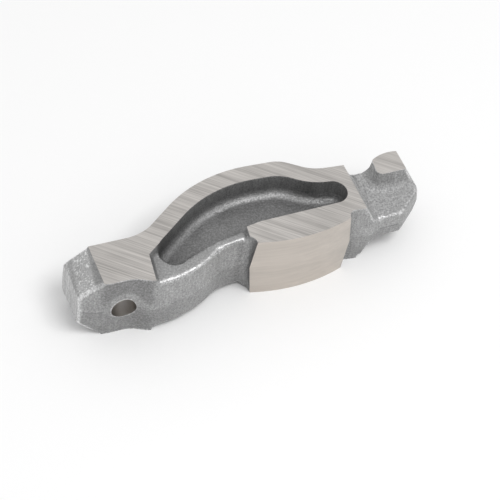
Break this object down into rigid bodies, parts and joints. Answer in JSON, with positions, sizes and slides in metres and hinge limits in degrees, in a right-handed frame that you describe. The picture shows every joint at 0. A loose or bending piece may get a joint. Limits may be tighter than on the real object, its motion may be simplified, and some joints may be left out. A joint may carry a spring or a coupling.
{
  "type": "rocker arm",
  "caption": "One-piece forged steel finger-type rocker arm: ball seat at one end, crowned cam pad in the middle, valve foot at the other end.",
  "frame": {"origin": "centre of the ball in its seat, on the forging's parting plane", "axes": "+X along the arm from the ball seat to the valve foot, +Y out of the ball seat's mouth and away from the cam, +Z across the arm, up as it lies on a side face"},
  "size_m": [0.0825, 0.0301, 0.017],
  "materials": {
    "forged_steel": "as-forged grey skin with fine grain; the two side faces, the cam pad and the foot's crown are ground bright with fine streaks"
  },
  "bodies": {
    "root": {"rocker_arm": "forged_steel"}
  },
  "joints": []
}
